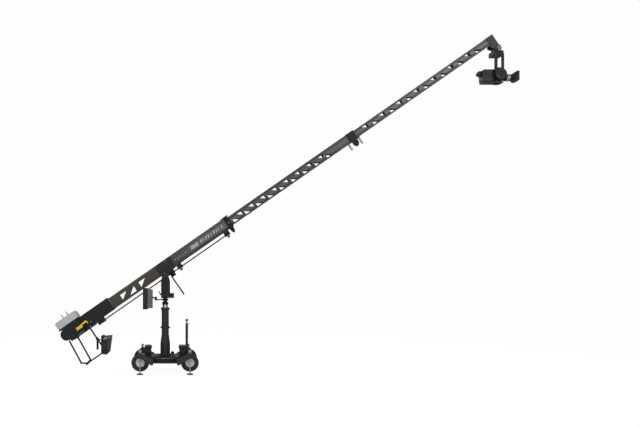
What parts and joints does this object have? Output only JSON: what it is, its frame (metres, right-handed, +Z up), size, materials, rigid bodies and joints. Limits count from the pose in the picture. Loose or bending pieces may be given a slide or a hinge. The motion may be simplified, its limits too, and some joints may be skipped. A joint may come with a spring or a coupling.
{
  "type": "camera jib crane",
  "caption": "Telescopic camera jib crane: three nested box booms on a tilting yoke, a lifting column and a wheeled dolly with jacks, with a levelled remote head and camera.",
  "frame": {"origin": "on the floor under the column axis, midway between the jack pads", "axes": "+X towards the boom nose, +Z up, the operator side with the terminal is -Y"},
  "size_m": [7.8239, 1.05, 5.6944],
  "materials": {
    "tyre": "rubber with a fine grain",
    "hub_silver": "machined",
    "deck_black": "satin paint",
    "frame_dark": "satin paint",
    "frame_grey": "satin paint",
    "box_black": "powder coat",
    "screw_silver": "machined",
    "column_black": "satin paint",
    "ram_chrome": "polished",
    "fitting_black": "satin paint",
    "housing_black": "matte",
    "sink_grey": "anodised",
    "beam_outer": "satin paint",
    "beam_middle": "satin paint",
    "beam_inner": "satin paint",
    "weight_iron": "painted",
    "side_iron": "painted",
    "lever_yellow": "satin paint",
    "hanger_silver": "machined",
    "head_black": "satin paint"
  },
  "bodies": {
    "dolly": {"chassis_frame": "frame_dark", "centre_deck": "deck_black", "outriggers": "frame_grey", "equipment_boxes": "box_black", "column": "column_black"},
    "knob": {"column_clamp_knob": "housing_black"},
    "lid_left": {"box_lid_left": "box_black"},
    "lid_right": {"box_lid_right": "box_black"},
    "wheel_rear_near": {"tyre_rear_near": "tyre", "hub_rear_near": "hub_silver"},
    "wheel_rear_far": {"tyre_rear_far": "tyre", "hub_rear_far": "hub_silver"},
    "wheel_front_near": {"tyre_front_near": "tyre", "hub_front_near": "hub_silver"},
    "wheel_front_far": {"tyre_front_far": "tyre", "hub_front_far": "hub_silver"},
    "knuckle_n": {"knuckle_near": "frame_dark"},
    "knuckle_f": {"knuckle_far": "frame_dark"},
    "post": {"steering_post": "frame_dark"},
    "cross_rod": {"tie_rod": "screw_silver"},
    "jack_rn": {"jack_rear_near": "screw_silver"},
    "jack_rf": {"jack_rear_far": "screw_silver"},
    "jack_fn": {"jack_front_near": "screw_silver"},
    "jack_ff": {"jack_front_far": "screw_silver"},
    "ram": {"lift_ram": "ram_chrome"},
    "pan": {"pan_neck": "fitting_black", "yoke": "fitting_black", "control_box": "housing_black", "terminal_arm": "fitting_black"},
    "pan_brake": {"pan_brake_lever": "screw_silver"},
    "terminal_swing": {"terminal_link": "fitting_black"},
    "terminal": {"terminal_screen": "housing_black", "terminal_heat_sink": "sink_grey"},
    "boom": {"outer_beam": "beam_outer", "saddle": "fitting_black", "guide_rail": "fitting_black", "rail_brackets": "fitting_black", "drive_motor": "fitting_black", "front_collar": "fitting_black"},
    "hand_lever": {"tilt_lever": "fitting_black"},
    "carriage": {"carriage_shell": "fitting_black", "side_weights": "side_iron", "push_frame": "fitting_black", "weight_tray": "fitting_black", "tail_monitor": "housing_black"},
    "weights": {"weight_slabs": "weight_iron"},
    "catch": {"lock_lever": "lever_yellow"},
    "middle": {"middle_beam": "beam_middle", "middle_collar": "fitting_black", "collar_adjusters": "hanger_silver"},
    "inner": {"inner_beam": "beam_inner", "nose_cap": "head_black"},
    "hanger": {"level_hanger": "hanger_silver"},
    "head": {"pan_head": "head_black"},
    "cradle": {"tilt_cradle": "head_black", "camera_body": "housing_black", "viewfinder": "housing_black", "lens_barrel": "housing_black", "lens_hood": "housing_black"},
    "ring": {"focus_ring": "housing_black"}
  },
  "joints": [
    {"name": "wheel_spin_rear_near", "type": "hinge", "parent": "dolly", "child": "wheel_rear_near", "pos_m": [-0.406, -0.36, 0.18], "axis": [0, 1, 0], "continuous": true},
    {"name": "wheel_spin_rear_far", "type": "hinge", "parent": "dolly", "child": "wheel_rear_far", "pos_m": [-0.406, 0.36, 0.18], "axis": [0, 1, 0], "continuous": true},
    {"name": "wheel_spin_front_near", "type": "hinge", "parent": "knuckle_n", "child": "wheel_front_near", "pos_m": [0.406, -0.36, 0.18], "axis": [0, 1, 0], "continuous": true},
    {"name": "wheel_spin_front_far", "type": "hinge", "parent": "knuckle_f", "child": "wheel_front_far", "pos_m": [0.406, 0.36, 0.18], "axis": [0, 1, 0], "continuous": true},
    {"name": "steering", "type": "hinge", "parent": "dolly", "child": "post", "pos_m": [0.366, 0, 0.2], "axis": [0, 0, 1], "range_deg": [-20, 20]},
    {"name": "knuckle_near_turn", "type": "hinge", "parent": "dolly", "child": "knuckle_n", "pos_m": [0.406, -0.29, 0.18], "axis": [0, 0, 1], "range_deg": [-20, 20]},
    {"name": "knuckle_far_turn", "type": "hinge", "parent": "dolly", "child": "knuckle_f", "pos_m": [0.406, 0.29, 0.18], "axis": [0, 0, 1], "range_deg": [-20, 20]},
    {"name": "cross_rod_turn", "type": "hinge", "parent": "post", "child": "cross_rod", "pos_m": [0.276, 0, 0.13], "axis": [0, 0, 1], "range_deg": [-20, 20]},
    {"name": "jack_rear_near_wind", "type": "slide", "parent": "dolly", "child": "jack_rn", "axis": [0, 0, 1], "range_m": [0, 0.036]},
    {"name": "jack_rear_far_wind", "type": "slide", "parent": "dolly", "child": "jack_rf", "axis": [0, 0, 1], "range_m": [0, 0.036]},
    {"name": "jack_front_near_wind", "type": "slide", "parent": "dolly", "child": "jack_fn", "axis": [0, 0, 1], "range_m": [0, 0.036]},
    {"name": "jack_front_far_wind", "type": "slide", "parent": "dolly", "child": "jack_ff", "axis": [0, 0, 1], "range_m": [0, 0.036]},
    {"name": "lid_left_open", "type": "hinge", "parent": "dolly", "child": "lid_left", "pos_m": [-0.232, 0, 0.401], "axis": [0, 1, 0], "range_deg": [0, 100]},
    {"name": "lid_right_open", "type": "hinge", "parent": "dolly", "child": "lid_right", "pos_m": [0.232, 0, 0.401], "axis": [0, -1, 0], "range_deg": [0, 100]},
    {"name": "column_clamp", "type": "hinge", "parent": "dolly", "child": "knob", "pos_m": [0.124, 0, 0.3], "axis": [0, 0, 1], "range_deg": [-180, 180]},
    {"name": "column_lift", "type": "slide", "parent": "dolly", "child": "ram", "axis": [0, 0, 1], "range_m": [0, 0.3]},
    {"name": "pan_turn", "type": "hinge", "parent": "ram", "child": "pan", "pos_m": [0, 0, 1.2], "axis": [0, 0, 1], "continuous": true},
    {"name": "pan_brake_turn", "type": "hinge", "parent": "pan", "child": "pan_brake", "pos_m": [-0.09, 0, 1.2933], "axis": [1, 0, 0], "range_deg": [-40, 20]},
    {"name": "terminal_swing_turn", "type": "hinge", "parent": "pan", "child": "terminal_swing", "pos_m": [-0.156, -0.12, 1.23], "axis": [0, 0, 1], "range_deg": [0, 25]},
    {"name": "terminal_tilt", "type": "hinge", "parent": "terminal_swing", "child": "terminal", "pos_m": [-0.191, -0.225, 1.2408], "axis": [0, 1, 0], "range_deg": [-12, 12]},
    {"name": "boom_tilt", "type": "hinge", "parent": "pan", "child": "boom", "pos_m": [0, 0, 1.6253], "axis": [0, -1, 0], "range_deg": [-40, 4]},
    {"name": "hand_lever_swing", "type": "hinge", "parent": "boom", "child": "hand_lever", "pos_m": [0.0685, -0.135, 1.65464], "axis": [0, 1, 0], "range_deg": [0, 20]},
    {"name": "middle_extend", "type": "slide", "parent": "boom", "child": "middle", "axis": [-0.8211, 0, -0.5707], "range_m": [0, 2.3]},
    {"name": "inner_extend", "type": "slide", "parent": "middle", "child": "inner", "axis": [-0.8211, 0, -0.5707], "range_m": [0, 2.3]},
    {"name": "carriage_travel", "type": "slide", "parent": "boom", "child": "carriage", "axis": [0.8211, 0, 0.5707], "range_m": [0, 0.45]},
    {"name": "weights_lift_off", "type": "slide", "parent": "carriage", "child": "weights", "axis": [-0.5707, 0, 0.8211], "range_m": [0, 0.25]},
    {"name": "catch_turn", "type": "hinge", "parent": "carriage", "child": "catch", "pos_m": [-1.44025, -0.163, 0.73634], "axis": [0, 1, 0], "range_deg": [-15, 15]},
    {"name": "nose_level", "type": "hinge", "parent": "inner", "child": "hanger", "pos_m": [5.62563, 0, 5.46702], "axis": [0, -1, 0], "range_deg": [-4, 40]},
    {"name": "head_pan", "type": "hinge", "parent": "hanger", "child": "head", "pos_m": [5.62563, 0, 5.36702], "axis": [0, 0, 1], "continuous": true},
    {"name": "camera_tilt", "type": "hinge", "parent": "head", "child": "cradle", "pos_m": [5.64963, -0.09, 5.00202], "axis": [0, 1, 0], "range_deg": [-35, 45]},
    {"name": "focus_turn", "type": "hinge", "parent": "cradle", "child": "ring", "pos_m": [5.81563, 0, 4.97502], "axis": [1, 0, 0], "range_deg": [-140, 140]}
  ],
  "couplings": [
    {"joint": "knuckle_near_turn", "follows": "steering", "ratio": 1},
    {"joint": "knuckle_far_turn", "follows": "steering", "ratio": 1},
    {"joint": "cross_rod_turn", "follows": "steering", "ratio": -1},
    {"joint": "inner_extend", "follows": "middle_extend", "ratio": 1},
    {"joint": "carriage_travel", "follows": "middle_extend", "ratio": 0.19565},
    {"joint": "nose_level", "follows": "boom_tilt", "ratio": -1}
  ]
}
